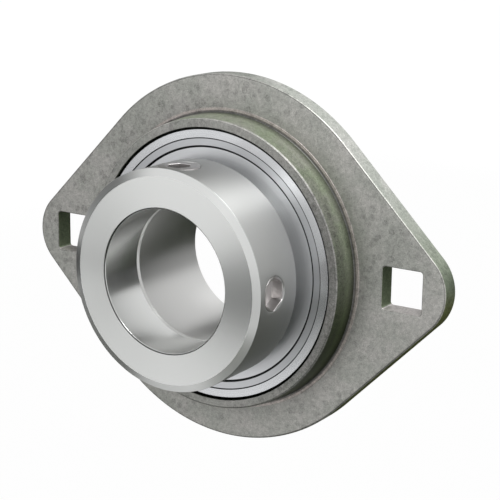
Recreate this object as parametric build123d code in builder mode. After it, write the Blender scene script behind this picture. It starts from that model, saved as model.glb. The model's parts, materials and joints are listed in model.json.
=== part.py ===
"""Two-bolt flange bearing unit: a thick sheet-steel flange with a drawn spherical seat, and in it
an insert ball bearing that is locked to its shaft by an eccentric collar.

The bore axis runs along Y and the front faces -Y. The long side of the flange lies along X, and Z is up.
The origin is on the bore axis, in the flange's back face.
"""
import os
from math import radians, sqrt, tan

from build123d import *

os.makedirs("parts", exist_ok=True)

# Flange
bolt_pitch = 100.0
bolt_square = 10.5
bolt_square_corner = 0.8
flange_height = 94.0
flange_end_radius = 11.4
plate_thickness = 5.1
plate_edge_radius = 0.55
rim_wall = 1.34
rim_taper = 4.5
rim_height = 12.6
rim_edge_chamfer = 0.5
rim_root_fillet = 0.8
rim_foot_width = 1.2
rim_foot_height = 0.2
seat_back_chamfer = 0.5
seat_clearance = 0.06

# Bearing rings
shaft_diameter = 35.0
outer_diameter = 72.0
outer_width = 19.0
ball_plane_height = 2.6
inner_front_reach = 15.9
outer_face_chamfer = 0.7
inner_edge_chamfer = 0.6
outer_shoulder_reach = 4.6
inner_shoulder_reach = 3.3

# Balls, raceways and cage
ball_count = 9
ball_diameter = 11.112
groove_radius = 5.73
ball_clearance = 0.02
pocket_clearance = 0.15
cage_wall = 4.0
cage_seal_gap = 0.25
cage_horn_reach = 2.8
cage_relief_width = 3.4
cage_relief_reach = 1.4

# Seals
seal_seat_step = 0.58
seal_seat_depth = 2.2
seal_fit = 0.02
seal_recess = 0.17
seal_sheet = 0.7
seal_face_width = 1.96
lip_thickness = 0.6
lip_tip_clearance = 0.06
lip_tip_width = 0.9
lip_tip_drop = 0.3
lip_floor_drop = 0.15
lip_land = 1.0
flinger_gap = 0.33
flinger_sheet = 0.6
flinger_recess = 0.3
flinger_hub_wall = 0.8
flinger_hub_drop = 0.5

# Locking collar and its eccentric
collar_diameter = 54.7
collar_width = 16.5
collar_overlap = 3.5
collar_shoulder_gap = 1.7
collar_chamfer_radial = 1.9
collar_chamfer_axial = 0.75
collar_rear_chamfer = 0.4
collar_mouth_chamfer = 0.4
collar_bore_clearance = 0.15
eccentricity = 0.8
eccentric_radius = 21.4
eccentric_clearance = 0.1
collar_end_gap = 0.25

# Set screws
screw_setback = 6.6
screw_fit = 0.05
screw_tip_gap = 0.75
screw_tip_chamfer = 0.8
side_screw_diameter = 8.3
side_screw_recess = 0.15
side_socket_flats = 7.0
side_socket_depth = 2.9
top_screw_diameter = 10.2
top_screw_recess = 0.2
top_socket_flats = 5.2
top_socket_depth = 3.0
socket_floor_dip = 0.25

# Places that follow from the sizes above: heights are counted from the flange's back face,
# and faces, floors and edges from the balls' plane
seat_radius = outer_diameter / 2 + seat_clearance
rim_base_radius = seat_radius + rim_wall
rim_foot_radius = rim_base_radius + rim_foot_width
rim_wall_height = rim_height - rim_edge_chamfer - plate_thickness - rim_foot_height
rim_chamfer_radius = rim_base_radius - rim_wall_height * tan(radians(rim_taper))
pitch_diameter = (outer_diameter + shaft_diameter) / 2
outer_shoulder_radius = pitch_diameter / 2 + outer_shoulder_reach
inner_shoulder_radius = pitch_diameter / 2 - inner_shoulder_reach
seal_seat_radius = outer_shoulder_radius + seal_seat_step
seal_inner_radius = seal_seat_radius - seal_face_width
outer_face = outer_width / 2
inner_front_height = ball_plane_height + inner_front_reach
eccentric_length = collar_overlap + collar_shoulder_gap
shoulder_front_height = inner_front_height - eccentric_length
collar_rear_height = inner_front_height - collar_overlap
collar_front_height = collar_rear_height + collar_width
screw_height = collar_front_height - screw_setback
collar_bore_radius = shaft_diameter / 2 + collar_bore_clearance
screw_tip_radius = collar_bore_radius + screw_tip_gap
seal_seat_floor = outer_face - seal_seat_depth
lip_floor = seal_seat_floor - lip_floor_drop
pocket_radius = ball_diameter / 2 + pocket_clearance
cage_back = lip_floor - cage_seal_gap

# Section planes: x is the radius, y the height in front of the back face, or of the balls' plane
section = Plane(origin=(0, 0, 0), x_dir=(1, 0, 0), z_dir=(0, 0, -1))
ball_section = Plane(origin=(0, -ball_plane_height, 0), x_dir=(1, 0, 0), z_dir=(0, 0, -1))

side_screw_plane = Plane(origin=(0, -screw_height, 0), x_dir=(0, 1, 0), z_dir=(1, 0, 0))
top_screw_plane = Plane(origin=(0, -screw_height, 0), x_dir=(0, 1, 0), z_dir=(0, 0, 1))


def facing(height):
    """Plane square to the bore axis at this height, looking out of the front."""
    return Plane.XZ.offset(height)


def circles(piece, radius):
    """Circular edges of this radius, the frontmost first."""
    found = piece.edges().filter_by(GeomType.CIRCLE)
    return found.filter_by(lambda edge: abs(edge.radius - radius) < 0.01).sort_by(Axis.Y)


def save(piece, label):
    """Labels a finished piece and writes its file."""
    piece.part.label = label
    export_step(piece.part, f"parts/{label}.step")


# Flange housing
with BuildPart() as flange_housing:
    with BuildSketch(facing(0)):
        Circle(flange_height / 2)
        with Locations((-bolt_pitch / 2, 0), (bolt_pitch / 2, 0)):
            Circle(flange_end_radius)
        make_hull()
    extrude(amount=plate_thickness)
    fillet(flange_housing.faces().sort_by(Axis.Y)[0].edges(), radius=plate_edge_radius)
    with BuildSketch(section):
        with BuildLine():
            Polyline(
                (0, 0),
                (rim_foot_radius, 0),
                (rim_foot_radius, plate_thickness + rim_foot_height),
                (rim_base_radius, plate_thickness + rim_foot_height),
                (rim_chamfer_radius, rim_height - rim_edge_chamfer),
                (rim_chamfer_radius - rim_edge_chamfer, rim_height),
                (0, rim_height),
                close=True,
            )
        make_face()
    revolve(axis=Axis.Y)
    fillet(circles(flange_housing, rim_base_radius), radius=rim_root_fillet)
    with BuildSketch(facing(0)):
        with Locations((-bolt_pitch / 2, 0), (bolt_pitch / 2, 0)):
            RectangleRounded(bolt_square, bolt_square, bolt_square_corner)
    extrude(amount=plate_thickness, mode=Mode.SUBTRACT)
    with Locations((0, -ball_plane_height, 0)):
        Sphere(seat_radius, mode=Mode.SUBTRACT)
    seat_back_radius = sqrt(seat_radius**2 - ball_plane_height**2)
    with Locations(facing(0)):
        Cone(
            seat_back_radius + seat_back_chamfer,
            seat_back_radius,
            seat_back_chamfer,
            align=(Align.CENTER, Align.CENTER, Align.MIN),
            mode=Mode.SUBTRACT,
        )
save(flange_housing, "flange_housing")

# Outer ring
with BuildPart() as outer_ring:
    with BuildSketch(ball_section):
        Circle(outer_diameter / 2)
        with Locations((outer_shoulder_radius, 0)):
            Rectangle(outer_diameter, outer_width, align=(Align.MIN, Align.CENTER), mode=Mode.INTERSECT)
        with Locations((0, outer_face), (0, -outer_face)):
            Rectangle(2 * seal_seat_radius, 2 * seal_seat_depth, mode=Mode.SUBTRACT)
        with Locations((pitch_diameter / 2 + ball_diameter / 2 + ball_clearance - groove_radius, 0)):
            Circle(groove_radius, mode=Mode.SUBTRACT)
    revolve(axis=Axis.Y)
    face_edge_radius = sqrt((outer_diameter / 2) ** 2 - outer_face**2)
    chamfer(circles(outer_ring, face_edge_radius), length=outer_face_chamfer)
save(outer_ring, "outer_ring")

# Inner ring with the eccentric on its long front end
with BuildPart() as inner_ring:
    with BuildSketch(ball_section):
        with Locations((shaft_diameter / 2, -outer_face)):
            Rectangle(
                inner_shoulder_radius - shaft_diameter / 2,
                outer_face + inner_front_reach - eccentric_length,
                align=(Align.MIN, Align.MIN),
            )
        with Locations((pitch_diameter / 2 - ball_diameter / 2 - ball_clearance + groove_radius, 0)):
            Circle(groove_radius, mode=Mode.SUBTRACT)
    revolve(axis=Axis.Y)
    with BuildSketch(facing(shoulder_front_height)):
        with Locations((eccentricity, 0)):
            Circle(eccentric_radius)
        Circle(shaft_diameter / 2, mode=Mode.SUBTRACT)
    extrude(amount=eccentric_length)
    chamfer(circles(inner_ring, shaft_diameter / 2), length=inner_edge_chamfer)
    chamfer(circles(inner_ring, inner_shoulder_radius)[-1], length=inner_edge_chamfer)
    chamfer(circles(inner_ring, inner_shoulder_radius)[0], length=inner_edge_chamfer)
    chamfer(circles(inner_ring, eccentric_radius)[0], length=inner_edge_chamfer)
save(inner_ring, "inner_ring")

# Balls, at rest in their pockets
first_ball = Plane(origin=(0, -ball_plane_height, 0), x_dir=(0, 0, 1), z_dir=(0, -1, 0))
with BuildPart() as ball:
    Sphere(ball_diameter / 2)
with Locations(first_ball):
    ball_places = PolarLocations(pitch_diameter / 2, ball_count).locations
for index, place in enumerate(ball_places):
    with BuildPart() as placed_ball:
        with Locations(place):
            add(ball.part)
    save(placed_ball, f"ball_{index + 1}")

# Snap cage: a back ring with pockets that grip each ball from behind
with BuildPart() as cage:
    with BuildSketch(ball_section):
        with Locations((pitch_diameter / 2, -cage_back)):
            Rectangle(cage_wall, cage_back + cage_horn_reach, align=(Align.CENTER, Align.MIN))
    revolve(axis=Axis.Y)
    with Locations(first_ball):
        with PolarLocations(pitch_diameter / 2, ball_count):
            Sphere(pocket_radius, mode=Mode.SUBTRACT)
        with PolarLocations(pitch_diameter / 2, ball_count, start_angle=180 / ball_count):
            with Locations((0, 0, -cage_relief_reach)):
                Box(
                    2 * cage_wall,
                    cage_relief_width,
                    2 * pocket_radius,
                    align=(Align.CENTER, Align.CENTER, Align.MIN),
                    mode=Mode.SUBTRACT,
                )
save(cage, "cage")

# Seals, alike on both sides of the balls
for side, name in ((1, "front"), (-1, "rear")):
    outward = Plane(origin=(0, -ball_plane_height, 0), x_dir=(1, 0, 0), z_dir=(0, 0, -side))
    washer_radius = seal_seat_radius - seal_fit
    washer_edge = outer_face - seal_recess
    with BuildPart() as seal_washer:
        with BuildSketch(outward):
            with BuildLine():
                Polyline(
                    (washer_radius, seal_seat_floor),
                    (washer_radius, washer_edge),
                    (seal_inner_radius, washer_edge),
                    (seal_inner_radius, washer_edge - seal_sheet),
                    (washer_radius - seal_sheet, washer_edge - seal_sheet),
                    (washer_radius - seal_sheet, seal_seat_floor),
                    close=True,
                )
            make_face()
        revolve(axis=Axis.Y)
    save(seal_washer, f"{name}_seal_washer")

    lip_outer = washer_radius - seal_sheet
    tip_radius = inner_shoulder_radius + lip_tip_clearance
    with BuildPart() as seal_lip:
        with BuildSketch(outward):
            with BuildLine():
                Polyline(
                    (lip_outer, lip_floor),
                    (lip_outer, washer_edge - seal_sheet),
                    (lip_outer - lip_land, washer_edge - seal_sheet),
                    (lip_outer - lip_land, lip_floor + lip_thickness),
                    (tip_radius + lip_tip_width, lip_floor + lip_thickness),
                    (tip_radius, lip_floor + lip_thickness - lip_tip_drop),
                    (tip_radius, lip_floor - lip_tip_drop),
                    (tip_radius + lip_tip_width, lip_floor),
                    close=True,
                )
            make_face()
        revolve(axis=Axis.Y)
    save(seal_lip, f"{name}_seal_lip")

    flinger_face = washer_edge - flinger_recess
    flinger_radius = seal_inner_radius - flinger_gap
    hub_radius = inner_shoulder_radius + flinger_hub_wall
    with BuildPart() as flinger:
        with BuildSketch(outward):
            with BuildLine():
                Polyline(
                    (inner_shoulder_radius, flinger_face),
                    (flinger_radius, flinger_face),
                    (flinger_radius, flinger_face - flinger_sheet),
                    (hub_radius, flinger_face - flinger_sheet),
                    (hub_radius, flinger_face - flinger_sheet - flinger_hub_drop),
                    (inner_shoulder_radius, flinger_face - flinger_sheet - flinger_hub_drop),
                    close=True,
                )
            make_face()
        revolve(axis=Axis.Y)
    save(flinger, f"{name}_flinger")

# Locking collar
with BuildPart() as locking_collar:
    with BuildSketch(facing(collar_rear_height)):
        Circle(collar_diameter / 2)
        Circle(collar_bore_radius, mode=Mode.SUBTRACT)
    extrude(amount=collar_width)
    chamfer(circles(locking_collar, collar_bore_radius)[0], length=collar_mouth_chamfer)
    front_rim = circles(locking_collar, collar_diameter / 2)[0]
    front_face = locking_collar.faces().sort_by(Axis.Y)[0]
    chamfer(front_rim, length=collar_chamfer_radial, length2=collar_chamfer_axial, reference=front_face)
    chamfer(circles(locking_collar, collar_diameter / 2)[-1], length=collar_rear_chamfer)
    with BuildSketch(facing(collar_rear_height)):
        with Locations((eccentricity, 0)):
            Circle(eccentric_radius + eccentric_clearance)
    extrude(amount=inner_front_height + collar_end_gap - collar_rear_height, mode=Mode.SUBTRACT)
    for screw_plane, screw_diameter in (
        (side_screw_plane, side_screw_diameter),
        (top_screw_plane, top_screw_diameter),
    ):
        with Locations(screw_plane):
            Cylinder(
                screw_diameter / 2 + screw_fit,
                collar_diameter,
                align=(Align.CENTER, Align.CENTER, Align.MIN),
                mode=Mode.SUBTRACT,
            )
save(locking_collar, "locking_collar")


def set_screw(axis_plane, diameter, recess, flats, socket_depth):
    """Set screw along the plane's normal: hexagon socket in its outer end, chamfered tip towards the shaft."""
    head_radius = collar_diameter / 2 - recess
    with BuildPart() as screw:
        with BuildSketch(axis_plane.offset(screw_tip_radius)):
            Circle(diameter / 2)
        extrude(amount=head_radius - screw_tip_radius)
        ends = screw.edges().filter_by(GeomType.CIRCLE).sort_by(Axis((0, 0, 0), axis_plane.z_dir))
        chamfer(ends[0], length=screw_tip_chamfer)
        with BuildSketch(axis_plane.offset(head_radius)):
            RegularPolygon(flats / 2, 6, major_radius=False, rotation=30)
        extrude(amount=-socket_depth, mode=Mode.SUBTRACT)
        with Locations(axis_plane.offset(head_radius - socket_depth)):
            Cone(
                0,
                flats / 2,
                socket_floor_dip,
                align=(Align.CENTER, Align.CENTER, Align.MAX),
                mode=Mode.SUBTRACT,
            )
    return screw


# Set screws
side_screw = set_screw(
    side_screw_plane, side_screw_diameter, side_screw_recess, side_socket_flats, side_socket_depth
)
save(side_screw, "side_screw")
top_screw = set_screw(
    top_screw_plane, top_screw_diameter, top_screw_recess, top_socket_flats, top_socket_depth
)
save(top_screw, "top_screw")
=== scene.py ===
"""Looks of the two-bolt flange bearing unit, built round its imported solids.

Lengths are in metres. The bore axis runs along Y and the front faces -Y. A height is counted from the
flange's back face towards the front, so a point at height h lies at y = -h.
"""
import json
from math import asin, cos, degrees, pi, radians, sin, sqrt

import bmesh
import bpy
import numpy as np
from mathutils import Matrix, Vector
from mathutils.geometry import tessellate_polygon


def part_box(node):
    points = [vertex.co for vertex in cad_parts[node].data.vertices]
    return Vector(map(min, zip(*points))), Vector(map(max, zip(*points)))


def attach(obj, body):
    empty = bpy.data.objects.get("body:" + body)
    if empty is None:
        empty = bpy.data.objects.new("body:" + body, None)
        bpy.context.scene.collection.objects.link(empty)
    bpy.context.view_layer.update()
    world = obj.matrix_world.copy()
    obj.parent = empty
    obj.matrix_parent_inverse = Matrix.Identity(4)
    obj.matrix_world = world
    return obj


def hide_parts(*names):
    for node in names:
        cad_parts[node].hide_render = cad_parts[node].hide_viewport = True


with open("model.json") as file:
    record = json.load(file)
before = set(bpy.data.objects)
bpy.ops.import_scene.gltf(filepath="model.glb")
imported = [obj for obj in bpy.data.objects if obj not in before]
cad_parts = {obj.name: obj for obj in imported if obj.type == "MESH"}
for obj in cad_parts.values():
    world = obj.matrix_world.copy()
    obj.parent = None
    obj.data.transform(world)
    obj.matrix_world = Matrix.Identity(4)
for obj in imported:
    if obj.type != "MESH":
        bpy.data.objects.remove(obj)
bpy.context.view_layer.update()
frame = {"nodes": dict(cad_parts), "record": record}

MM = 0.001
SEGMENTS = 360
CORNER_STEPS = 4
CREASE_DEGREES = 30
MERGE_DISTANCE = 1e-6
POLE_RADIUS = 1e-6

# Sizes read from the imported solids
ring_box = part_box("outer_ring")
collar_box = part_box("locking_collar")
housing_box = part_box("flange_housing")
inner_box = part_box("inner_ring")
washer_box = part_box("front_seal_washer")
flinger_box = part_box("front_flinger")
side_screw_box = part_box("side_screw")
top_screw_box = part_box("top_screw")

ring_radius = ring_box[1][0]
ball_plane = -(ring_box[0][1] + ring_box[1][1]) / 2
ring_half_width = (ring_box[1][1] - ring_box[0][1]) / 2
collar_radius = collar_box[1][0]
collar_rear, collar_front = -collar_box[1][1], -collar_box[0][1]
rim_height = -housing_box[0][1]
flange_radius = housing_box[1][2]
flange_reach = housing_box[1][0]
inner_rear, inner_front = -inner_box[1][1], -inner_box[0][1]
shoulder_radius = inner_box[1][0]
washer_radius = washer_box[1][0]
washer_front = -washer_box[0][1]
flinger_radius = flinger_box[1][0]
flinger_front = -flinger_box[0][1]
side_screw_radius = side_screw_box[1][2]
side_screw_head = side_screw_box[1][0]
top_screw_radius = top_screw_box[1][0]
top_screw_head = top_screw_box[1][2]
screw_height = -(side_screw_box[0][1] + side_screw_box[1][1]) / 2

# Flange
end_radius = 11.4 * MM
end_centre = flange_reach - end_radius
plate_thickness = 5.1 * MM
plate_edge_radius = 0.55 * MM
bolt_square = 10.5 * MM
bolt_square_corner = 0.8 * MM
hole_edge_radius = 0.3 * MM
back_edge_radius = 0.15 * MM
rim_base_radius = 37.4 * MM
rim_chamfer_radius = 36.85 * MM
rim_chamfer = 0.35 * MM
rim_root_fillet = 0.8 * MM
rim_foot_radius = 38.6 * MM
rim_foot_height = 0.2 * MM
rim_foot_edge = 0.06 * MM
rim_edge_radius = 0.12 * MM
edge_points = 6
seat_gap = 0.06 * MM
seat_radius = ring_radius + seat_gap
seat_back_chamfer = 0.5 * MM

# Bearing
bore_radius = 17.5 * MM
fine_edge = 0.12 * MM
ring_chamfer = 0.7 * MM
outer_shoulder = 31.35 * MM
seal_seat_radius = 31.93 * MM
seal_seat_depth = 2.2 * MM
groove_radius = 5.73 * MM
outer_groove_centre = 26.596 * MM
inner_groove_centre = 26.904 * MM
eccentricity = 0.8 * MM
eccentric_radius = 21.4 * MM
eccentric_length = 5.2 * MM
inner_chamfer = 0.6 * MM
seal_sheet = 0.7 * MM
seal_inner_radius = 29.97 * MM
lip_thickness = 0.6 * MM
lip_gap = 0.06 * MM
lip_floor_drop = 0.15 * MM
lip_tip_drop = 0.3 * MM
lip_tip_width = 0.9 * MM
lip_land = 1.0 * MM
flinger_sheet = 0.6 * MM
flinger_hub_wall = 0.8 * MM
flinger_hub_drop = 0.5 * MM
thin_edge = 0.1 * MM

# Locking collar
collar_bore = 17.65 * MM
collar_chamfer_radial = 1.9 * MM
collar_chamfer_axial = 0.75 * MM
collar_rear_chamfer = 0.4 * MM
collar_mouth_chamfer = 0.4 * MM
recess_radius = 21.5 * MM
recess_gap = 0.25 * MM
recess_end = inner_front + recess_gap
window_half_height = 5.65 * MM
window_half_columns = 18
window_rows = 17
patch_rings = 6
screw_hole_edge = 0.25 * MM
screw_hole_edge_points = 5
screw_fit = 0.05 * MM

# Set screws
screw_tip = 18.4 * MM
screw_tip_chamfer = 0.8 * MM
screw_end_round = 0.1 * MM
side_socket_flats = 7.0 * MM
side_socket_depth = 2.9 * MM
top_socket_flats = 5.2 * MM
top_socket_depth = 3.0 * MM
socket_floor_dip = 0.25 * MM
socket_lip = 0.08 * MM
screw_segments = 144


# Shapes


def rounded(corners, radii, steps=CORNER_STEPS):
    """Profile with its corners rounded, with steps + 3 points to each corner.

    Corner P gives the curve (1-s)^2 A + 2 s (1-s) P + s^2 B. A and B lie before and after it at the
    distance radius / tan(half the corner's angle), up to a share of its shorter side. A point a little
    further out on each side keeps the rest of the face flat in its shading.
    """
    largest_share, flat_support = 0.3, 1.4
    corners = np.asarray(corners, float)
    plane = corners[:, :2]
    before = np.roll(plane, 1, axis=0) - plane
    after = np.roll(plane, -1, axis=0) - plane
    before_length = np.linalg.norm(before, axis=1)
    after_length = np.linalg.norm(after, axis=1)
    before_unit = before / before_length[:, None]
    after_unit = after / after_length[:, None]
    half_angle = np.arccos(np.clip((before_unit * after_unit).sum(axis=1), -1, 1)) / 2
    largest = largest_share * np.minimum(before_length, after_length)
    trim = np.minimum(np.asarray(radii) / np.tan(half_angle), largest)[:, None]
    start = plane + before_unit * trim
    end = plane + after_unit * trim
    s = np.linspace(0, 1, steps + 1)[None, :, None]
    curve = (1 - s) ** 2 * start[:, None] + 2 * s * (1 - s) * plane[:, None] + s**2 * end[:, None]
    ahead = plane + before_unit * flat_support * trim
    beyond = plane + after_unit * flat_support * trim
    curve = np.concatenate([ahead[:, None], curve, beyond[:, None]], axis=1)
    extras = np.repeat(corners[:, None, 2:], steps + 3, axis=1)
    return np.concatenate([curve, extras], axis=2).reshape(-1, corners.shape[1])


def arc(centre, radius, start, end, count):
    """Points centre + radius (cos a, sin a) for count angles from start to end, in degrees."""
    angle = np.radians(np.linspace(start, end, count))
    return np.stack([centre[0] + radius * np.cos(angle), centre[1] + radius * np.sin(angle)], axis=1)


def grid_faces(rows, columns, rows_close, columns_close):
    """Four-cornered faces between neighbours of a grid of points, row by row."""
    row = np.arange(rows if rows_close else rows - 1)
    column = np.arange(columns if columns_close else columns - 1)
    row, column = np.meshgrid(row, column, indexing="ij")
    next_row, next_column = (row + 1) % rows, (column + 1) % columns
    first, second = row * columns + column, row * columns + next_column
    third, fourth = next_row * columns + next_column, next_row * columns + column
    return np.stack([first, second, third, fourth], axis=-1).reshape(-1, 4)


def turned(profile, closed=True):
    """Profile of (radius r, height h, sideways shift d) carried round the bore axis.

    At angle a it lies at (d + r cos a, -h, r sin a). The shift is left out where it is nil.
    """
    profile = np.asarray(profile, float)
    shift = profile[:, 2] if profile.shape[1] == 3 else np.zeros(len(profile))
    angle = np.linspace(0, 2 * pi, SEGMENTS, endpoint=False)[:, None]
    x = shift + profile[:, 0] * np.cos(angle)
    y = -profile[:, 1] + 0 * angle
    z = profile[:, 0] * np.sin(angle)
    points = np.stack([x, y, z], axis=-1).reshape(-1, 3)
    return points, grid_faces(SEGMENTS, len(profile), True, closed)


def joined(surfaces):
    """Several (points, faces) surfaces as the points and the list of faces of one mesh."""
    points, faces, count = [], [], 0
    for surface_points, surface_faces in surfaces:
        points.append(surface_points)
        faces += (np.asarray(surface_faces) + count).tolist()
        count += len(surface_points)
    return np.concatenate(points), faces


def piece(name, surface, material, stands_for):
    """Mesh object of a surface, its doubles merged and its faces turned outwards, in place of a solid."""
    points, faces = surface
    face_list = faces.tolist() if isinstance(faces, np.ndarray) else faces
    mesh = bpy.data.meshes.new(name)
    mesh.from_pydata(points.tolist(), [], face_list)
    shape = bmesh.new()
    shape.from_mesh(mesh)
    bmesh.ops.remove_doubles(shape, verts=shape.verts, dist=MERGE_DISTANCE)
    bmesh.ops.recalc_face_normals(shape, faces=shape.faces)
    shape.to_mesh(mesh)
    shape.free()
    mesh.polygons.foreach_set("use_smooth", np.ones(len(mesh.polygons), bool))
    mesh.set_sharp_from_angle(angle=radians(CREASE_DEGREES))
    mesh.materials.append(material)
    made = bpy.data.objects.new(name, mesh)
    bpy.context.scene.collection.objects.link(made)
    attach(made, frame_body(stands_for))
    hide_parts(stands_for)


def frame_body(node):
    """The body that carries a node."""
    bodies = frame["record"]["behaviour"]["bodies"]
    return next(body for body, nodes in bodies.items() if node in nodes)


def plate_outline():
    """Points and outward normals of the flange's outline.

    Round two end circles and a large middle one the normal turns evenly. A straight side joins two circles
    where their common tangent has one normal.
    """
    turn = degrees(np.arccos((flange_radius - end_radius) / end_centre))
    end_points, middle_points = 48, 120
    spans = (
        (end_centre, end_radius, -turn, turn, end_points),
        (0, flange_radius, turn, 180 - turn, middle_points),
        (-end_centre, end_radius, 180 - turn, 180 + turn, end_points),
        (0, flange_radius, 180 + turn, 360 - turn, middle_points),
    )
    points = np.concatenate([arc((x, 0), r, start, end, count) for x, r, start, end, count in spans])
    normals = np.concatenate([arc((0, 0), 1, start, end, count) for _, _, start, end, count in spans])
    return points, normals


def square_outline(centre):
    """Points and outward normals of a square bolt hole with round corners."""
    half = bolt_square / 2 - bolt_square_corner
    count = 9
    quarters = ((half, half, 0), (-half, half, 90), (-half, -half, 180), (half, -half, 270))
    points = np.concatenate(
        [arc((centre + x, z), bolt_square_corner, start, start + 90, count) for x, z, start in quarters]
    )
    normals = np.concatenate([arc((0, 0), 1, start, start + 90, count) for _, _, start in quarters])
    return points, normals


def carried(path, profile):
    """Profile of (outward offset o, height h) carried along a closed path.

    At a path point P with normal n it lies at P + o n in the plane of the flange, at height h.
    """
    points, normals = path
    profile = np.asarray(profile, float)
    flat = points[:, None] + profile[None, :, :1] * normals[:, None]
    height = np.broadcast_to(profile[None, :, 1:], flat[..., :1].shape)
    placed = np.concatenate([flat[..., :1], -height, flat[..., 1:]], axis=-1).reshape(-1, 3)
    return placed, grid_faces(len(points), len(profile), True, False)


def flat_face(loops, height):
    """Flat surface at a height, between an outer loop and the loops of its openings."""
    rings = [[Vector((x, -height, z)) for x, z in loop] for loop in loops]
    points = np.array([corner for ring in rings for corner in ring])
    return points, [list(face) for face in tessellate_polygon(rings)]


def quarter_round(radius, top, outwards):
    """Profile round an edge at height top, and one more point on the flat face, at twice the radius.

    The offset, outwards or inwards, is radius (1 - cos t), and the height is top - radius (1 - sin t).
    """
    t = np.linspace(0, pi / 2, edge_points)
    offset = np.append(radius * (1 - np.cos(t)), 2 * radius)
    return np.stack([outwards * offset, np.append(top - radius * (1 - np.sin(t)), top)], axis=1)


def housing_surface():
    """Flange plate, its two square holes and the rim with the spherical seat, as one closed surface."""
    outline, holes = plate_outline(), [square_outline(-end_centre), square_outline(end_centre)]
    front_round = quarter_round(plate_edge_radius, plate_thickness, -1)
    side = np.concatenate([[[-back_edge_radius, 0], [0, back_edge_radius]], front_round])
    hole_round = quarter_round(hole_edge_radius, plate_thickness, 1)
    hole_wall = np.concatenate([[[back_edge_radius, 0], [0, back_edge_radius]], hole_round])
    seat_edge = sqrt(seat_radius**2 - (rim_height - ball_plane) ** 2)
    seat_turn = degrees(asin((rim_height - ball_plane) / seat_radius))
    seat_back_turn = degrees(asin((seat_back_chamfer - ball_plane) / seat_radius))
    seat_back_radius = sqrt(seat_radius**2 - ball_plane**2) + seat_back_chamfer
    seat_points = 30
    seat = arc((0, ball_plane), seat_radius, seat_turn, seat_back_turn, seat_points)
    rim_root = rim_foot_radius + rim_foot_height
    corners = np.concatenate(
        [
            [
                (rim_root, plate_thickness),
                (rim_foot_radius, plate_thickness),
                (rim_foot_radius, plate_thickness + rim_foot_height),
                (rim_base_radius, plate_thickness + rim_foot_height),
                (rim_chamfer_radius, rim_height - rim_chamfer),
                (rim_chamfer_radius - rim_chamfer, rim_height),
                (seat_edge, rim_height),
            ],
            seat[1:],
            [(seat_back_radius, 0)],
        ]
    )
    rim_radii = [0, rim_foot_edge, rim_foot_edge, rim_root_fillet]
    rim_radii += [2 * rim_edge_radius, 2 * rim_edge_radius, rim_edge_radius]
    radii = np.concatenate([rim_radii, np.zeros(len(seat))])
    rim = turned(rounded(corners, radii, steps=6), closed=False)
    circle = arc((0, 0), 1, 0, 360, SEGMENTS + 1)[:-1]
    front_loops = [outline[0] - 2 * plate_edge_radius * outline[1], circle * rim_root]
    front_loops += [points + 2 * hole_edge_radius * normals for points, normals in holes]
    back_loops = [outline[0] - back_edge_radius * outline[1], circle * seat_back_radius]
    back_loops += [points + back_edge_radius * normals for points, normals in holes]
    return joined(
        [
            carried(outline, side),
            *[carried(hole, hole_wall) for hole in holes],
            rim,
            flat_face(front_loops, plate_thickness),
            flat_face(back_loops, 0),
        ]
    )


def outer_ring_surface():
    """Outer ring: spherical outside, two faces, seal seats and the ball groove, its profile turned.

    The corners of the front half end with the groove's bottom, which is left out once they are rounded. The
    rear half is its mirror image.
    """
    face_turn = degrees(asin((ring_half_width - ring_chamfer) / ring_radius))
    face_edge = sqrt(ring_radius**2 - ring_half_width**2) - ring_chamfer
    groove_turn = degrees(np.arccos((outer_shoulder - outer_groove_centre) / groove_radius))
    groove_points, outside_points = 12, 24
    groove = arc((outer_groove_centre, 0), groove_radius, 0, groove_turn, groove_points)
    outside = arc((0, 0), ring_radius, face_turn, 0, outside_points)
    seat_floor = ring_half_width - seal_seat_depth
    corners = np.concatenate(
        [
            groove[1:],
            [
                (outer_shoulder, seat_floor),
                (seal_seat_radius, seat_floor),
                (seal_seat_radius, ring_half_width),
                (face_edge, ring_half_width),
            ],
            outside,
            groove[:1],
        ]
    )
    face_corner = groove_points + 1
    radii = np.zeros(len(corners))
    radii[face_corner : face_corner + 3] = fine_edge
    front = rounded(corners, radii)[: -CORNER_STEPS - 3]
    rear = front[::-1] * (1, -1)
    return turned(np.concatenate([front, rear]) + (0, ball_plane))


def inner_ring_surface():
    """Inner ring: bore, shoulders, ball groove, and a front end turned off centre by the eccentricity."""
    groove_turn = degrees(np.arccos((inner_groove_centre - shoulder_radius) / groove_radius))
    groove_start, groove_end, groove_points = 180 + groove_turn, 180 - groove_turn, 24
    groove = arc((inner_groove_centre, ball_plane), groove_radius, groove_start, groove_end, groove_points)
    shoulder_front = inner_front - eccentric_length
    rear_end = [
        (bore_radius, inner_rear + inner_chamfer, 0),
        (bore_radius + inner_chamfer, inner_rear, 0),
        (shoulder_radius - inner_chamfer, inner_rear, 0),
        (shoulder_radius, inner_rear + inner_chamfer, 0),
    ]
    front_end = [
        (shoulder_radius, shoulder_front - inner_chamfer, 0),
        (shoulder_radius - inner_chamfer, shoulder_front, 0),
        (eccentric_radius, shoulder_front, eccentricity),
        (eccentric_radius, inner_front - inner_chamfer, eccentricity),
        (eccentric_radius - inner_chamfer, inner_front, eccentricity),
        (bore_radius + inner_chamfer, inner_front, 0),
        (bore_radius, inner_front - inner_chamfer, 0),
    ]
    corners = np.concatenate([rear_end, np.column_stack([groove, np.zeros(groove_points)]), front_end])
    radii = np.repeat([fine_edge, 0, fine_edge], [len(rear_end), groove_points, len(front_end)])
    return turned(rounded(corners, radii))


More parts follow.
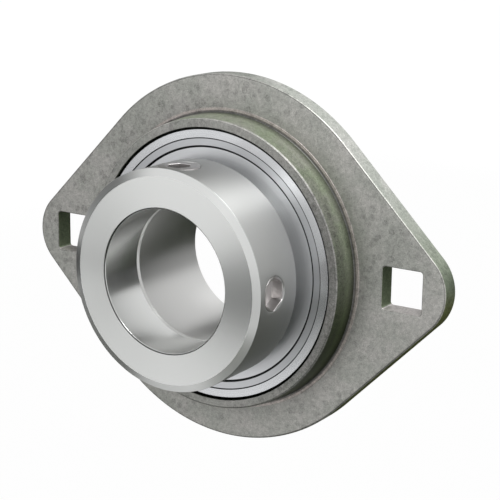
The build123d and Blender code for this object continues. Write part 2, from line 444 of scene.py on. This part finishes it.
def seal_parts(side):
    """Corner points of washer, lip and flinger on one side of the balls, side 1 in front and -1 behind."""
    washer_edge = washer_front - ball_plane
    seat_floor = ring_half_width - seal_seat_depth
    lip_outer = washer_radius - seal_sheet
    lip_floor = seat_floor - lip_floor_drop
    tip = shoulder_radius + lip_gap
    hub = shoulder_radius + flinger_hub_wall
    top = flinger_front - ball_plane
    washer = [
        (washer_radius, seat_floor),
        (washer_radius, washer_edge),
        (seal_inner_radius, washer_edge),
        (seal_inner_radius, washer_edge - seal_sheet),
        (washer_radius - seal_sheet, washer_edge - seal_sheet),
        (washer_radius - seal_sheet, seat_floor),
    ]
    lip = [
        (lip_outer, lip_floor),
        (lip_outer, washer_edge - seal_sheet),
        (lip_outer - lip_land, washer_edge - seal_sheet),
        (lip_outer - lip_land, lip_floor + lip_thickness),
        (tip + lip_tip_width, lip_floor + lip_thickness),
        (tip, lip_floor + lip_thickness - lip_tip_drop),
        (tip, lip_floor - lip_tip_drop),
        (tip + lip_tip_width, lip_floor),
    ]
    flinger = [
        (shoulder_radius, top),
        (flinger_radius, top),
        (flinger_radius, top - flinger_sheet),
        (hub, top - flinger_sheet),
        (hub, top - flinger_sheet - flinger_hub_drop),
        (shoulder_radius, top - flinger_sheet - flinger_hub_drop),
    ]
    place = np.array((1, side))
    return [np.array(corners) * place + (0, ball_plane) for corners in (washer, lip, flinger)]


def thin_ring(corners):
    """Thin turned ring with slightly rounded corners."""
    return turned(rounded(corners, np.full(len(corners), thin_edge)))


def around_window():
    """Turn and height, from its middle, of the grid points round a screw hole's window, anticlockwise."""
    across = np.arange(-window_half_columns, window_half_columns)
    up = np.linspace(-1, 1, window_rows)[:-1]
    right = np.full(len(up), window_half_columns)
    top = np.ones(len(across))
    columns = np.concatenate([across, right, -across, -right])
    rows = np.concatenate([-top, up, top, -up])
    return columns * 2 * pi / SEGMENTS, rows * window_half_height


def windowed_cylinder(radius, holes):
    """Cylinder of this radius over the windows' height, without the windows, and in each window a patch.

    The patch blends to the window's border from the hole's edge, where the tangential place is the hole's
    radius times cos f and the height its radius times sin f.
    """
    rows = np.linspace(-1, 1, window_rows)
    angle = np.arange(SEGMENTS) * 2 * pi / SEGMENTS
    turn, rise = np.meshgrid(angle, rows, indexing="ij")
    height = screw_height + rise * window_half_height
    points = np.stack([radius * np.cos(turn), -height, radius * np.sin(turn)], axis=-1).reshape(-1, 3)
    faces = grid_faces(SEGMENTS, len(rows), True, False)
    column = faces[:, 0] // len(rows)
    surfaces = []
    for start, _ in holes:
        offset = (column - start + SEGMENTS // 2) % SEGMENTS - SEGMENTS // 2
        inside = (offset >= -window_half_columns) & (offset < window_half_columns)
        faces, column = faces[~inside], column[~inside]
    surfaces.append((points, faces))
    border_turn, border_height = around_window()
    around = np.arctan2(border_height, collar_radius * border_turn)
    for start, hole_radius in holes:
        hole_turn = np.arcsin(hole_radius * np.cos(around) / radius)
        hole_height = hole_radius * np.sin(around)
        blend = np.linspace(0, 1, patch_rings)[None, :]
        turn = start * 2 * pi / SEGMENTS + hole_turn[:, None] * (1 - blend) + border_turn[:, None] * blend
        height = screw_height + hole_height[:, None] * (1 - blend) + border_height[:, None] * blend
        patch = np.stack([radius * np.cos(turn), -height, radius * np.sin(turn)], axis=-1).reshape(-1, 3)
        surfaces.append((patch, grid_faces(len(around), patch_rings, True, False)))
    return joined(surfaces)


def screw_hole_wall(start, hole_radius):
    """Wall of a radial screw hole.

    Round its mouth the radius is the hole's plus e (1 - sin t), at the depth e (1 - cos t) under the
    collar's outside, and from there the wall runs straight to the bore.
    """
    border_turn, border_height = around_window()
    around = np.arctan2(border_height, collar_radius * border_turn)[:, None]
    t = np.linspace(0, pi / 2, screw_hole_edge_points)
    wall_radius = np.append(hole_radius + screw_hole_edge * (1 - np.sin(t)), hole_radius)
    sideways = wall_radius * np.cos(around)
    outside = np.sqrt(collar_radius**2 - sideways[:, :-1] ** 2) - screw_hole_edge * (1 - np.cos(t))
    inside = np.sqrt(collar_bore**2 - sideways[:, -1:] ** 2)
    out = np.concatenate([outside, inside], axis=1)
    height = screw_height + wall_radius * np.sin(around)
    turn = start * 2 * pi / SEGMENTS
    x = out * cos(turn) - sideways * sin(turn)
    z = out * sin(turn) + sideways * cos(turn)
    points = np.stack([x, -height, z], axis=-1).reshape(-1, 3)
    return points, grid_faces(len(around), len(wall_radius), True, False)


def collar_surface():
    """Locking collar: two turned ends, and cylinders between them with a window for each set screw."""
    low, high = screw_height - window_half_height, screw_height + window_half_height
    front = [
        (collar_radius, high, 0),
        (collar_radius, collar_front - collar_chamfer_axial, 0),
        (collar_radius - collar_chamfer_radial, collar_front, 0),
        (collar_bore + collar_mouth_chamfer, collar_front, 0),
        (collar_bore, collar_front - collar_mouth_chamfer, 0),
        (collar_bore, high, 0),
    ]
    rear = [
        (collar_radius, low, 0),
        (collar_radius, collar_rear + collar_rear_chamfer, 0),
        (collar_radius - collar_rear_chamfer, collar_rear, 0),
        (recess_radius, collar_rear, eccentricity),
        (recess_radius, recess_end, eccentricity),
        (collar_bore, recess_end, 0),
        (collar_bore, low, 0),
    ]
    front_radii = np.array([0, 2, 2, 1, 1, 0]) * fine_edge
    rear_radii = np.array([0, 1, 1, 1, 1, 1, 0]) * fine_edge
    holes = ((0, side_screw_radius + screw_fit), (SEGMENTS // 4, top_screw_radius + screw_fit))
    mouths = [(start, radius + screw_hole_edge) for start, radius in holes]
    return joined(
        [
            turned(rounded(front, front_radii), closed=False),
            turned(rounded(rear, rear_radii), closed=False),
            windowed_cylinder(collar_radius, mouths),
            windowed_cylinder(collar_bore, holes),
            *[screw_hole_wall(start, radius) for start, radius in holes],
        ]
    )


def screw_surface(radius, head, flats, depth, along, across):
    """Set screw along one direction: rings round its axis from its tip to the floor of its socket.

    In the socket the ring's radius at angle f is half the flats over the cosine of f's distance to the
    nearest flat, and elsewhere it is round.
    """
    angle = np.linspace(0, 2 * pi, screw_segments, endpoint=False)
    to_flat = (angle + pi / 6) % (pi / 3) - pi / 6
    hexagon = flats / 2 / np.cos(to_flat)
    ones = np.ones_like(angle)
    round_middle = 0.3 * screw_end_round
    rings = [
        (POLE_RADIUS * ones, screw_tip),
        ((radius - screw_tip_chamfer) * ones, screw_tip),
        (radius * ones, screw_tip + screw_tip_chamfer),
        (radius * ones, head - screw_end_round),
        ((radius - round_middle) * ones, head - round_middle),
        ((radius - screw_end_round) * ones, head),
        (np.minimum(hexagon + socket_lip, radius - screw_end_round), head),
        (hexagon, head - socket_lip),
        (hexagon, head - depth),
        (hexagon / 2, head - depth - socket_floor_dip / 2),
        (POLE_RADIUS * ones, head - depth - socket_floor_dip),
    ]
    ring_radius_at = np.stack([ring for ring, _ in rings], axis=1)
    out = np.array([place for _, place in rings])
    height = screw_height + ring_radius_at * np.cos(angle)[:, None]
    sideways = ring_radius_at * np.sin(angle)[:, None]
    points = out[None, :, None] * np.array(along) + sideways[..., None] * np.array(across)
    points[..., 1] -= height
    return points.reshape(-1, 3), grid_faces(len(angle), len(rings), True, False)


# Finishes


def node_group(name, inputs, outputs):
    """Empty shader node group with these named inputs and outputs, its tree and its two end nodes."""
    tree = bpy.data.node_groups.new(name, "ShaderNodeTree")
    for label, value in inputs.items():
        socket = tree.interface.new_socket(label, in_out="INPUT", socket_type="NodeSocketFloat")
        socket.default_value = value
    for label in outputs:
        tree.interface.new_socket(label, in_out="OUTPUT", socket_type="NodeSocketFloat")
    return tree, tree.nodes.new("NodeGroupInput"), tree.nodes.new("NodeGroupOutput")


def node(tree, kind, settings=(), **values):
    """New node of a kind, with its settings and the values or links of its inputs.

    An input is given by its name, or as i0, i1 and so on by its number.
    """
    made = tree.nodes.new(kind)
    for setting, value in dict(settings).items():
        setattr(made, setting, value)
    for label, value in values.items():
        key = int(label[1:]) if label[1:].isdigit() else label.replace("_", " ")
        socket = made.inputs[key]
        if isinstance(value, bpy.types.NodeSocket):
            tree.links.new(value, socket)
        else:
            socket.default_value = value
    return made


def maths(tree, operation, first, second=0.0):
    """Result of one sum on two values."""
    return node(tree, "ShaderNodeMath", {"operation": operation}, i0=first, i1=second).outputs[0]


def product(tree, first, *others):
    """Product of two or more values."""
    for other in others:
        first = maths(tree, "MULTIPLY", first, other)
    return first


def total(tree, first, *others):
    """Sum of two or more values."""
    for other in others:
        first = maths(tree, "ADD", first, other)
    return first


def parts_of(tree, vector):
    """The X, Y and Z outputs of a vector."""
    return node(tree, "ShaderNodeSeparateXYZ", i0=vector).outputs


def axis_radius(tree):
    """Distance from the bore axis and place along it, in metres."""
    place = parts_of(tree, node(tree, "ShaderNodeTexCoord").outputs["Object"])
    squares = total(tree, product(tree, place["X"], place["X"]), product(tree, place["Z"], place["Z"]))
    return maths(tree, "SQRT", squares), place["Y"]


def turning_marks_group():
    """Fine rings left by turning: bands of noise over the radius plus the place along the bore axis."""
    tree, given, result = node_group("turning_marks", {"Spacing": 0.4 * MM, "Amount": 0.1}, ("Shade",))
    radius, axial = axis_radius(tree)
    run = maths(tree, "DIVIDE", total(tree, radius, axial), given.outputs["Spacing"])
    bands = {"noise_dimensions": "1D"}
    noise = node(tree, "ShaderNodeTexNoise", bands, W=run, Scale=1.0, Detail=3.0, Roughness=0.6)
    offset = maths(tree, "SUBTRACT", noise.outputs[0], 0.5)
    shade = total(tree, product(tree, offset, given.outputs["Amount"]), 1.0)
    tree.links.new(shade, result.inputs["Shade"])
    return tree


def mottle_group():
    """Cloudy patches of a zinc coat: a coarse noise and a fine one, both about nil."""
    inputs = {"Size": 6 * MM, "Grain": 0.7 * MM}
    tree, given, result = node_group("zinc_mottle", inputs, ("Clouds", "Speckle"))
    place = node(tree, "ShaderNodeTexCoord").outputs["Object"]
    for label, size, detail in (("Clouds", "Size", 5.0), ("Speckle", "Grain", 2.0)):
        scale = maths(tree, "DIVIDE", 1.0, given.outputs[size])
        noise = node(tree, "ShaderNodeTexNoise", Vector=place, Scale=scale, Detail=detail, Roughness=0.6)
        tree.links.new(maths(tree, "SUBTRACT", noise.outputs[0], 0.5), result.inputs[label])
    return tree


turning_marks = turning_marks_group()
zinc_mottle = mottle_group()
quarter_turn = 0.25


def finish(name, colour, metallic, roughness, anisotropic=0.0):
    """Material with a plain Principled shader: its tree and the shader."""
    material = bpy.data.materials.new(name)
    material.use_nodes = True
    tree = material.node_tree
    shader = tree.nodes["Principled BSDF"]
    shader.inputs["Base Color"].default_value = (*colour, 1)
    shader.inputs["Metallic"].default_value = metallic
    shader.inputs["Roughness"].default_value = roughness
    shader.inputs["Anisotropic"].default_value = anisotropic
    if anisotropic:
        shader.inputs["Anisotropic Rotation"].default_value = quarter_turn
        tangent = node(tree, "ShaderNodeTangent", {"direction_type": "RADIAL", "axis": "Y"})
        tree.links.new(tangent.outputs[0], shader.inputs["Tangent"])
    return material, tree, shader


def shaded(tree, colour, factor):
    """Colour times a factor."""
    return node(tree, "ShaderNodeVectorMath", {"operation": "SCALE"}, i0=colour, Scale=factor).outputs[0]


def ramp(tree, value, low, high):
    """0 up to low and 1 from high, smooth between."""
    settings = {"interpolation_type": "SMOOTHSTEP"}
    return node(tree, "ShaderNodeMapRange", settings, Value=value, i1=low, i2=high).outputs[0]


def slope(tree, value, low, high, at_low, at_high):
    """Value that changes evenly between low and high, and is held beyond them."""
    return node(tree, "ShaderNodeMapRange", Value=value, i1=low, i2=high, i3=at_low, i4=at_high).outputs[0]


def darkened(tree, mask, share):
    """Shade factor that is less by this share where the mask is 1."""
    return maths(tree, "SUBTRACT", 1.0, product(tree, mask, share))


def blended(tree, factor, first, second):
    """Colour that goes from first to second with the factor."""
    ends = [end if isinstance(end, bpy.types.NodeSocket) else (*end, 1) for end in (first, second)]
    mix = node(tree, "ShaderNodeMix", {"data_type": "RGBA"}, Factor=factor, i6=ends[0], i7=ends[1])
    return mix.outputs[2]


# Turned steel

# Painted shade in the seams, the gaps between parts: the width of its soft edge and how dark it is
seam_blur = 0.08 * MM
seam_painted_shade = 0.9
flat_face_span = (0.88, 0.96)
collar_bore_span = (18.2 * MM, 18 * MM)


def seam_shade_mask(tree, radius, axial, seam):
    """1 between a seam's two radii, above the height from which it is dark: where its painted shade lies.
    """
    start, end, least_height = seam
    inside = ramp(tree, radius, start, start + seam_blur)
    outside = ramp(tree, radius, end, end + seam_blur)
    above = ramp(tree, axial, -least_height, -least_height - seam_blur)
    return product(tree, maths(tree, "SUBTRACT", inside, outside), above)


def turned_steel(name, colour, roughness, anisotropic, spacing, amount, shaded_seams=(), face=None):
    """Bright steel with turning rings that vary its shade, and painted shade in the seams, the gaps between
    parts.

    A seam is given by its two radii and the height above which its painted shade lies. The flat faces and
    the collar's bore may have a painted light, a factor that makes them lighter, and a roughness of their
    own.
    """
    material, tree, shader = finish(name, colour, 1.0, roughness, anisotropic)
    marks = node(tree, "ShaderNodeGroup", {"node_tree": turning_marks}, Spacing=spacing, Amount=amount)
    shade = marks.outputs["Shade"]
    radius, axial = axis_radius(tree)
    # Painted shade in each seam's gap
    for seam in shaded_seams:
        shade = product(tree, shade, darkened(tree, seam_shade_mask(tree, radius, axial, seam), seam_painted_shade))
    # Painted light: the flat faces and the collar's bore made lighter by a factor
    if face:
        face_painted_light, face_roughness = face
        normal = parts_of(tree, node(tree, "ShaderNodeTexCoord").outputs["Normal"])
        facing = maths(tree, "ABSOLUTE", normal["Y"])
        in_bore = ramp(tree, radius, *collar_bore_span)
        on_face = maths(tree, "MAXIMUM", ramp(tree, facing, *flat_face_span), in_bore)
        shade = product(tree, shade, total(tree, product(tree, on_face, face_painted_light - 1), 1.0))
        rough = total(tree, product(tree, on_face, face_roughness - roughness), roughness)
        tree.links.new(rough, shader.inputs["Roughness"])
    tree.links.new(shaded(tree, colour, shade), shader.inputs["Base Color"])
    return material


# Zinc coat: its colours. The dark ones for low on the rim wall, low on the sheet's outside and on the bolt
# holes' side walls are painted shade, the low ones with a yellower tone.
face_cool, face_warm = (0.43, 0.432, 0.405), (0.475, 0.462, 0.445)
rim_cool, rim_warm, rim_low_yellow_shade = (0.34, 0.39, 0.28), (0.34, 0.345, 0.30), (0.045, 0.07, 0.016)
outside_cool, outside_warm = (0.41, 0.43, 0.39), (0.48, 0.48, 0.455)
outside_lower_shade, outside_low_yellow_shade = (0.20, 0.235, 0.17), (0.24, 0.26, 0.10)
hole_floor, hole_side_shade = (0.47, 0.44, 0.43), (0.17, 0.205, 0.13)
foot_rose = (0.50, 0.45, 0.43)

# Zinc coat: how much each of its marks changes the shade. The clouds, speckle, grain and stains are the
# coat's own; the darker left, the darker right of the rim, the edges, the fillet and the roots are painted
# shade.
cloud_weight, speckle_weight, grain_weight = 0.35, 0.8, 1.1
stain_weight, left_painted_shade_weight, right_rim_painted_shade_weight = -0.17, -0.10, -0.36
edge_painted_shade, fillet_painted_shade = 0.5, 0.6
root_painted_shade, face_root_painted_shade = 0.4, 0.84
zinc_roughness, cloud_roughness = 0.41, 0.25
stain_scale = 400.0

# Zinc coat: where each mark and each painted shade begins and where it is full
tint_span = (-0.15, 0.15)
stain_cell_span, stain_field_span = (0.40, 0.32), (-0.08, 0.02)
left_shade_span, right_shade_span = (10 * MM, -35 * MM), (5 * MM, 36 * MM)
rim_span = (37.2 * MM, 37 * MM)
edge_start_span, edge_end_span = (0.76, 0.82), (0.985, 0.95)
fillet_start_span, fillet_end_span = (37.35 * MM, 37.45 * MM), (38.1 * MM, 37.9 * MM)
fillet_depth_span = (-6.4 * MM, -6.1 * MM)
rim_low_shade_span = (20 * MM, -16 * MM)
rim_root_span = (-8 * MM, -5.6 * MM)
outside_lower_shade_span, outside_low_shade_span = (26 * MM, 2 * MM), (3 * MM, -6 * MM)
hole_level_span, hole_reach_span, hole_side_span = (5.6 * MM, 5.4 * MM), (58 * MM, 57 * MM), (0.6, 0.8)
outside_span, face_root_span = (39 * MM, 40 * MM), (39 * MM, 43.5 * MM)
wall_span = (0.75, 0.25)
foot_start_span, foot_end_span = (37.6 * MM, 37.9 * MM), (38.65 * MM, 38.6 * MM)
foot_depth_span = (-4.9 * MM, -5.0 * MM)


def zinc_shade(tree, texture_place, place, facing, radius, coarse, fine):
    """Shade factor of the zinc coat: 1 plus its clouds, grain and small oval stains.

    Painted shade makes it less on the left and on the right of the rim, along the rounded edges and in the
    fillet at the rim's root.
    """
    cells = node(tree, "ShaderNodeTexVoronoi", Vector=texture_place, Scale=stain_scale).outputs["Distance"]
    stain_field = ramp(tree, fine.outputs["Clouds"], *stain_field_span)
    stain = product(tree, ramp(tree, cells, *stain_cell_span), stain_field)
    # Painted shade on the right of the rim's face
    right_rim_painted_shade = product(tree, ramp(tree, place["X"], *right_shade_span), ramp(tree, radius, *rim_span))
    shade = total(
        tree,
        1.0,
        product(tree, coarse.outputs["Clouds"], cloud_weight),
        product(tree, coarse.outputs["Speckle"], speckle_weight),
        product(tree, fine.outputs["Speckle"], grain_weight),
        product(tree, stain, stain_weight),
        product(tree, ramp(tree, place["X"], *left_shade_span), left_painted_shade_weight),
        product(tree, right_rim_painted_shade, right_rim_painted_shade_weight),
    )
    # Painted shade along the rounded edges and in the fillet at the rim's root
    edge = product(tree, ramp(tree, facing, *edge_start_span), ramp(tree, facing, *edge_end_span))
    fillet = product(
        tree,
        ramp(tree, radius, *fillet_start_span),
        ramp(tree, radius, *fillet_end_span),
        ramp(tree, place["Y"], *fillet_depth_span),
    )
    shade = product(tree, shade, darkened(tree, edge, edge_painted_shade))
    return product(tree, shade, darkened(tree, fillet, fillet_painted_shade))


def rim_wall_colour(tree, tint, place):
    """Olive outside wall of the rim, yellower low down, with painted shade that makes it darker low down
    and dark towards the rim's root.
    """
    wall = blended(tree, tint, rim_cool, rim_warm)
    wall = blended(tree, ramp(tree, place["Z"], *rim_low_shade_span), wall, rim_low_yellow_shade)
    return shaded(tree, wall, slope(tree, place["Y"], *rim_root_span, 1.0, root_painted_shade))


def outside_colour(tree, tint, place, normal):
    """Sheared outside of the sheet, light on top, then olive and yellower lower down where painted shade
    makes it darker, and the walls of the bolt holes.
    """
    level, reach = maths(tree, "ABSOLUTE", place["Z"]), maths(tree, "ABSOLUTE", place["X"])
    outside = blended(tree, tint, outside_cool, outside_warm)
    outside = blended(tree, ramp(tree, place["Z"], *outside_lower_shade_span), outside, outside_lower_shade)
    outside = blended(tree, ramp(tree, place["Z"], *outside_low_shade_span), outside, outside_low_yellow_shade)
    in_hole = product(tree, ramp(tree, level, *hole_level_span), ramp(tree, reach, *hole_reach_span))
    outside = blended(tree, in_hole, outside, hole_floor)
    # The side walls of the bolt holes get a dark painted shade
    on_side = product(tree, in_hole, ramp(tree, maths(tree, "ABSOLUTE", normal["X"]), *hole_side_span))
    return blended(tree, on_side, outside, hole_side_shade)


def zinc_steel():
    """Zinc-coated sheet of the flange: its face, its walls and the rim's rosy foot, times its shade, which
    holds painted shade besides the coat's own marks.
    """
    material, tree, shader = finish("zinc_coated_sheet", (0.4, 0.4, 0.38), 0.6, zinc_roughness)
    coarse = node(tree, "ShaderNodeGroup", {"node_tree": zinc_mottle}, Size=9 * MM, Grain=0.8 * MM)
    fine = node(tree, "ShaderNodeGroup", {"node_tree": zinc_mottle}, Size=20 * MM, Grain=0.3 * MM)
    coordinates = node(tree, "ShaderNodeTexCoord").outputs
    place = parts_of(tree, coordinates["Object"])
    normal = parts_of(tree, coordinates["Normal"])
    facing = maths(tree, "ABSOLUTE", normal["Y"])
    radius = axis_radius(tree)[0]
    tint = ramp(tree, coarse.outputs["Clouds"], *tint_span)

    face = blended(tree, tint, face_cool, face_warm)
    # Painted shade on the face round the rim's foot
    face = shaded(tree, face, slope(tree, radius, *face_root_span, face_root_painted_shade, 1.0))
    rim_wall = rim_wall_colour(tree, tint, place)
    outside = outside_colour(tree, tint, place, normal)
    wall = blended(tree, ramp(tree, radius, *outside_span), rim_wall, outside)
    colour = blended(tree, ramp(tree, facing, *wall_span), face, wall)
    on_foot = product(
        tree,
        ramp(tree, radius, *foot_start_span),
        ramp(tree, radius, *foot_end_span),
        ramp(tree, place["Y"], *foot_depth_span),
    )
    colour = blended(tree, on_foot, colour, foot_rose)
    shade = zinc_shade(tree, coordinates["Object"], place, facing, radius, coarse, fine)
    tree.links.new(shaded(tree, colour, shade), shader.inputs["Base Color"])
    rough = total(tree, product(tree, coarse.outputs["Clouds"], cloud_roughness), zinc_roughness)
    tree.links.new(rough, shader.inputs["Roughness"])
    return material


# Painted shade in the seams, the gaps between parts, each from one radius to another and above a height
washer_seam = (seal_seat_radius - 0.20 * MM, seal_seat_radius + 0.10 * MM, inner_rear)
flinger_seam = (flinger_radius - 0.12 * MM, seal_inner_radius + 0.10 * MM, inner_rear)
ring_seam = (ring_radius - 2.0 * MM, ring_radius + 1.0 * MM, rim_height - 3.0 * MM)
mouth_seam = (collar_bore + 0.06 * MM, collar_bore + 0.32 * MM, collar_rear)

# Materials
zinc = zinc_steel()
ring_steel = turned_steel(
    "ground_ring_steel",
    (0.72, 0.73, 0.75),
    roughness=0.25,
    anisotropic=0.95,
    spacing=0.5 * MM,
    amount=0.1,
    shaded_seams=(washer_seam, ring_seam),
)
seal_steel = turned_steel(
    "pressed_seal_steel",
    (0.60, 0.61, 0.63),
    roughness=0.28,
    anisotropic=0.95,
    spacing=0.6 * MM,
    amount=0.1,
    shaded_seams=(washer_seam, flinger_seam),
)
flinger_steel = turned_steel(
    "pressed_flinger_steel",
    (0.76, 0.77, 0.79),
    roughness=0.36,
    anisotropic=0.7,
    spacing=0.6 * MM,
    amount=0.08,
    shaded_seams=(flinger_seam,),
)
bore_steel = turned_steel(
    "ground_bore_steel", (0.70, 0.70, 0.69), roughness=0.40, anisotropic=0.7, spacing=0.5 * MM, amount=0.05
)
# The collar's flat faces and bore carry a painted light that makes them 1.36 times lighter
collar_steel = turned_steel(
    "turned_collar_steel",
    (0.558, 0.565, 0.557),
    roughness=0.38,
    anisotropic=0.8,
    spacing=0.4 * MM,
    amount=0.06,
    shaded_seams=(mouth_seam,),
    face=(1.36, 0.24),
)
screw_steel = finish("set_screw_steel", (0.56, 0.545, 0.54), metallic=1.0, roughness=0.32)[0]
ball_steel = finish("polished_ball_steel", (0.72, 0.72, 0.72), metallic=1.0, roughness=0.08)[0]
rubber = finish("seal_rubber", (0.015, 0.015, 0.015), metallic=0.0, roughness=0.55)[0]
cage_plastic = finish("cage_polyamide", (0.70, 0.66, 0.52), metallic=0.0, roughness=0.5)[0]

# Pieces

piece("flange_housing_sheet", housing_surface(), zinc, "flange_housing")
piece("outer_ring_turned", outer_ring_surface(), ring_steel, "outer_ring")
piece("inner_ring_turned", inner_ring_surface(), bore_steel, "inner_ring")
for side, name in ((1, "front"), (-1, "rear")):
    washer, lip, flinger = (thin_ring(corners) for corners in seal_parts(side))
    piece(f"{name}_seal_washer_pressed", washer, seal_steel, f"{name}_seal_washer")
    piece(f"{name}_seal_lip_moulded", lip, rubber, f"{name}_seal_lip")
    piece(f"{name}_flinger_pressed", flinger, flinger_steel, f"{name}_flinger")
piece("locking_collar_turned", collar_surface(), collar_steel, "locking_collar")
side_screw = screw_surface(
    side_screw_radius, side_screw_head, side_socket_flats, side_socket_depth, (1, 0, 0), (0, 0, 1)
)
top_screw = screw_surface(
    top_screw_radius, top_screw_head, top_socket_flats, top_socket_depth, (0, 0, 1), (1, 0, 0)
)
piece("side_screw_socketed", side_screw, screw_steel, "side_screw")
piece("top_screw_socketed", top_screw, screw_steel, "top_screw")
for name, solid in frame["nodes"].items():
    if not solid.hide_render:
        solid.data.materials.clear()
        solid.data.materials.append(ball_steel if name.startswith("ball_") else cage_plastic)

# Camera, at the photograph's angle

camera_azimuth = radians(33.207)
camera_elevation = radians(14.082)
camera_roll = radians(0.715)
camera_distance = 361.64 * MM
camera_aside, camera_above = 3.437 * MM, 1.443 * MM
camera_lens = 101.76

back = Vector(
    (
        sin(camera_azimuth) * cos(camera_elevation),
        -cos(camera_azimuth) * cos(camera_elevation),
        sin(camera_elevation),
    )
)
level_right = Vector((cos(camera_azimuth), sin(camera_azimuth), 0))
level_up = back.cross(level_right)
right = cos(camera_roll) * level_right + sin(camera_roll) * level_up
up = back.cross(right)
camera = bpy.data.objects.new("camera", bpy.data.cameras.new("camera"))
camera.data.lens = camera_lens
camera.data.clip_start, camera.data.clip_end = 0.01, 100
camera.location = camera_distance * back + camera_aside * right + camera_above * up
camera.rotation_mode = "QUATERNION"
camera.rotation_quaternion = Matrix((right, up, back)).transposed().to_quaternion()
bpy.context.scene.collection.objects.link(camera)
bpy.context.scene.camera = camera

# Studio


def stage_plane(name, centre, normal, width, length, material):
    """Flat stage piece round a centre, facing along normal."""
    turn = Vector(normal).normalized().to_track_quat("Z", "Y").to_matrix()
    corners = [Vector((x * width / 2, y * length / 2, 0)) for x, y in ((-1, -1), (1, -1), (1, 1), (-1, 1))]
    mesh = bpy.data.meshes.new(name)
    mesh.from_pydata([turn @ corner + Vector(centre) for corner in corners], [], [(0, 1, 2, 3)])
    mesh.materials.append(material)
    plane = bpy.data.objects.new(name, mesh)
    bpy.context.scene.collection.objects.link(plane)
    return plane


def area_lamp(name, place, size, power):
    """Square soft lamp at a place, turned to the middle of the part."""
    lamp = bpy.data.lights.new(name, "AREA")
    lamp.size, lamp.energy = size, power
    made = bpy.data.objects.new(name, lamp)
    made.location = place
    made.rotation_mode = "QUATERNION"
    made.rotation_quaternion = (-Vector(place)).to_track_quat("-Z", "Y")
    bpy.context.scene.collection.objects.link(made)


def sees_background(tree):
    """1 for camera, glossy and transmission rays, which see the plain white background."""
    path = node(tree, "ShaderNodeLightPath").outputs
    seen = maths(tree, "MAXIMUM", path["Is Camera Ray"], path["Is Glossy Ray"])
    return maths(tree, "MAXIMUM", seen, path["Is Transmission Ray"])


def matt(name, colour):
    """Material without any shine: its tree and the shader."""
    material, tree, shader = finish(name, colour, 0.0, 0.9)
    shader.inputs["Specular IOR Level"].default_value = 0.0
    return material, tree, shader


def mixed_surface(tree, output, factor, first, second):
    """Surface that goes from one shader to another with the factor, led to the tree's output node."""
    mix = node(tree, "ShaderNodeMixShader", i0=factor, i1=first.outputs[0], i2=second.outputs[0])
    tree.links.new(mix.outputs[0], tree.nodes[output].inputs["Surface"])


def soft_flag(name, colour, centre, normal, width, length):
    """Dark studio card that the camera doesn't see.

    It is full to seven tenths of the way from its middle to its edge, and fades out from there.
    """
    material, tree, shader = matt(name, colour)
    place = parts_of(tree, node(tree, "ShaderNodeTexCoord").outputs["UV"])
    offsets = [maths(tree, "ABSOLUTE", maths(tree, "SUBTRACT", place[axis], 0.5)) for axis in ("X", "Y")]
    fade = ramp(tree, maths(tree, "MAXIMUM", *offsets), *fade_span)
    mixed_surface(tree, "Material Output", fade, shader, node(tree, "ShaderNodeBsdfTransparent"))
    flag = stage_plane(name, centre, normal, width, length, material)
    flag.data.uv_layers.new(name="card").data.foreach_set("uv", (0, 0, 1, 0, 1, 1, 0, 1))
    flag.visible_camera = False


fade_span = (0.35, 0.5)
facing_up = (0, 0, 1)
floor_level, floor_side = -0.16, 12
floor_glow, floor_glow_share = 1.03, 0.96
ambient_colour, ambient_strength = (0.97, 1.0, 0.97, 1), 0.85
plain_white = (1, 1, 1, 1)

world = bpy.data.worlds.new("studio")
world.use_nodes = True
world_tree = world.node_tree
ambient = world_tree.nodes["Background"]
ambient.inputs["Color"].default_value = ambient_colour
ambient.inputs["Strength"].default_value = ambient_strength
white = node(world_tree, "ShaderNodeBackground", Color=plain_white, Strength=1.0)
mixed_surface(world_tree, "World Output", sees_background(world_tree), ambient, white)
bpy.context.scene.world = world

floor_material, floor_tree, floor_shader = matt("pale_floor", (0.9, 0.9, 0.9))
glow = node(floor_tree, "ShaderNodeEmission", Color=plain_white, Strength=floor_glow)
floor_seen = product(floor_tree, sees_background(floor_tree), floor_glow_share)
mixed_surface(floor_tree, "Material Output", floor_seen, floor_shader, glow)
stage_plane("floor", (0, 0, floor_level), facing_up, floor_side, floor_side, floor_material)

soft_flag("flag_below", (0.03, 0.035, 0.025), (0.0, 0.46, -0.12), facing_up, 1.4, 1.2)
soft_flag("flag_front", (0.03, 0.035, 0.03), (-0.115, -0.65, -0.13), facing_up, 0.41, 0.76)
soft_flag("flag_near", (0.2, 0.205, 0.19), (0.09, -0.13, -0.125), facing_up, 0.26, 0.20)
soft_flag("flag_near_left", (0.15, 0.15, 0.14), (-0.24, -0.03, -0.125), facing_up, 0.30, 0.24)
soft_flag("flag_left", (0.05, 0.05, 0.05), (-0.58, -0.14, -0.12), facing_up, 0.5, 0.6)
soft_flag("flag_left_side", (0.12, 0.12, 0.12), (-0.56, -0.30, 0.07), (0.86, 0.47, -0.1), 0.42, 0.42)
soft_flag("flag_behind_left", (0.22, 0.22, 0.22), (-0.40, 0.30, 0.36), (0.55, -0.5, -0.6), 0.6, 1.0)
soft_flag("flag_behind_right", (0.08, 0.08, 0.08), (0.38, 0.61, -0.05), (-0.54, -0.84, 0.05), 0.60, 0.44)

area_lamp("top_lamp", (0.245, -0.15, 0.575), 0.28, 2.0)
area_lamp("back_lamp", (0.245, 0.06, 0.575), 0.3, 0.7)

bpy.context.scene.view_settings.view_transform = "Standard"
